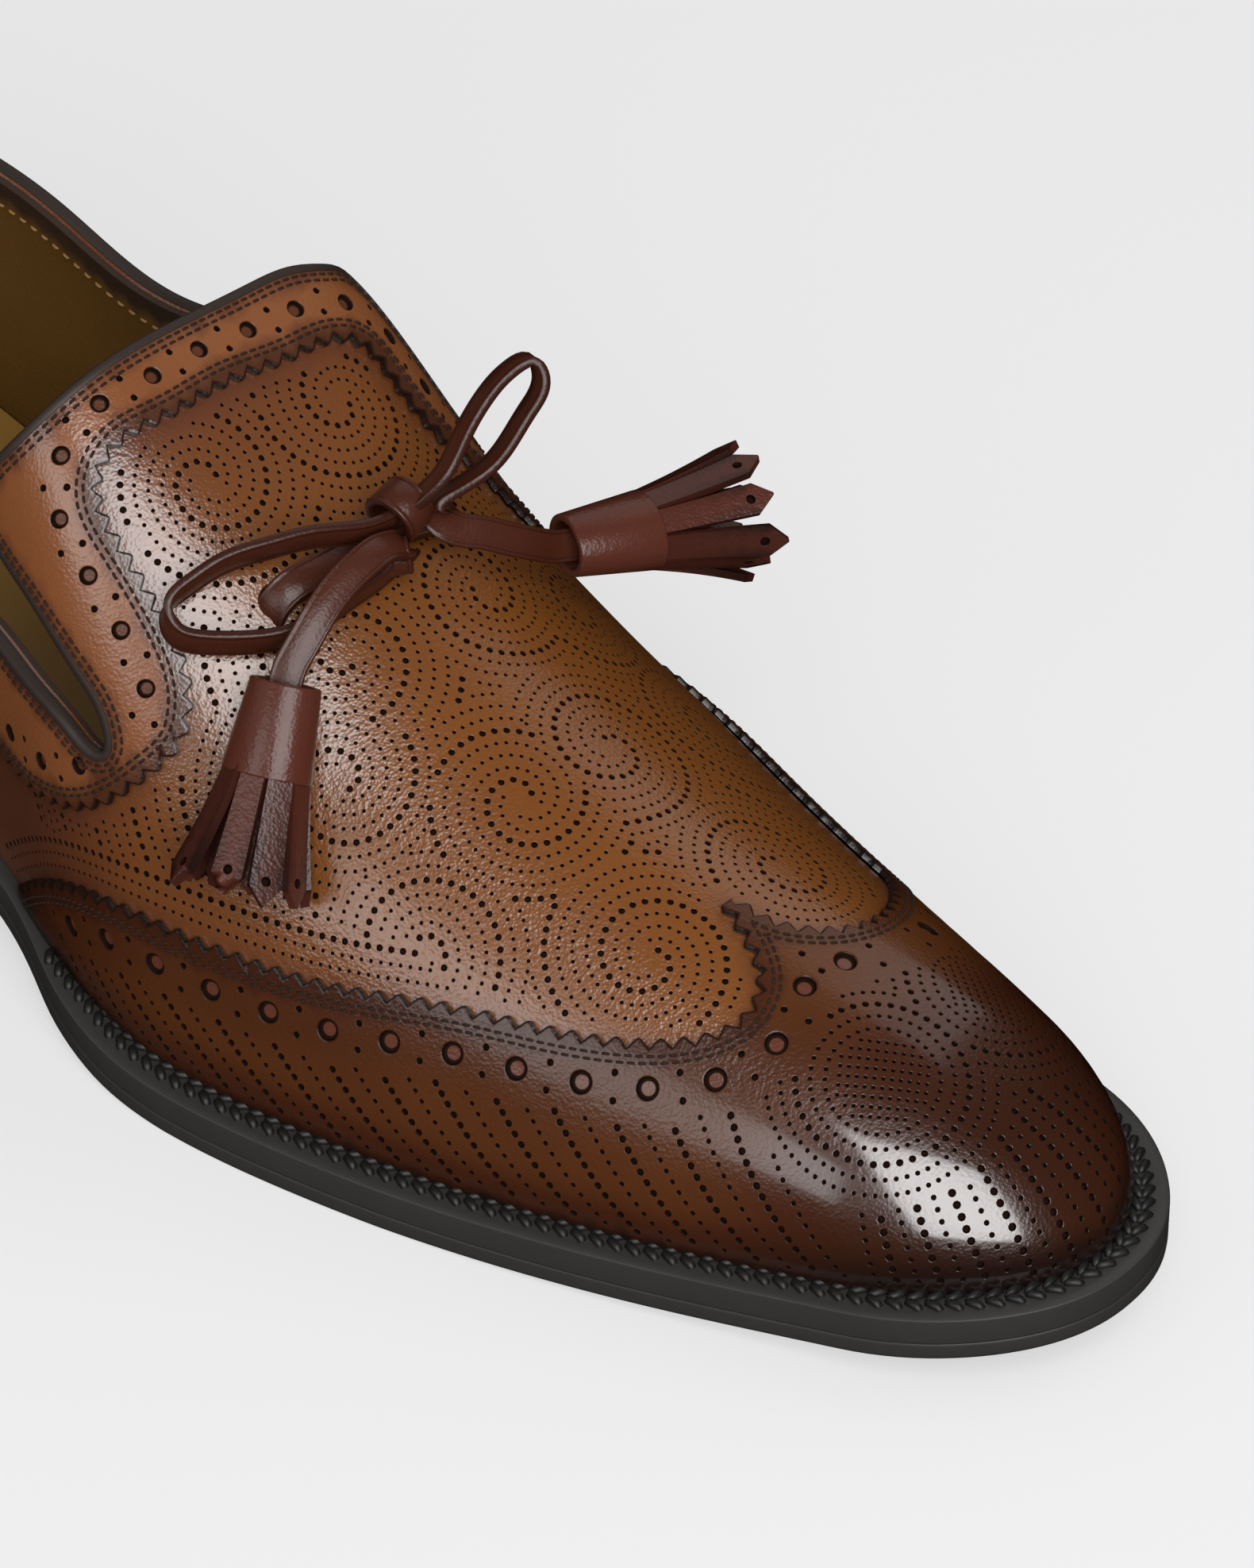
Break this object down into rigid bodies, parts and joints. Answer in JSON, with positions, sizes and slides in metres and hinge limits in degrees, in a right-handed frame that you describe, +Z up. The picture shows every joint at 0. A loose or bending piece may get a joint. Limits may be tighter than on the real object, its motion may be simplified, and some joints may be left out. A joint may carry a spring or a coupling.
{
  "type": "tassel loafer",
  "caption": "Wingtip slip-on loafer for a right foot with a perforated upper, throat slots, a lace bow and two leather tassels.",
  "frame": {"origin": "centre of the footprint's box on the floor under the sole", "axes": "+Z up; toe toward -Y; outer (lateral) side of the foot toward -X"},
  "size_m": [0.103, 0.306, 0.0898],
  "materials": {
    "sole_leather": "matte black edge dressing",
    "heel_leather": "satin black edge dressing",
    "welt_leather": "satin black",
    "insole_leather": "matte tan lining leather",
    "upper_leather": "burnished calf, satin",
    "wing_leather": "burnished calf, dark toward the toe",
    "band_leather": "burnished calf, satin",
    "lace_leather": "reddish brown leather, satin",
    "tassel_leather": "reddish brown leather, satin"
  },
  "bodies": {
    "root": {"outsole": "sole_leather", "heel_block": "heel_leather", "welt": "welt_leather", "insole": "insole_leather", "upper": "upper_leather", "wing_overlay": "wing_leather", "collar_band": "band_leather", "lace_bar": "lace_leather", "bow_knot": "lace_leather", "bow_loop_lateral": "lace_leather", "bow_loop_medial": "lace_leather", "lace_end_lateral": "lace_leather", "lace_end_medial": "lace_leather", "tassel_lateral": "tassel_leather", "tassel_medial": "tassel_leather"}
  },
  "joints": []
}
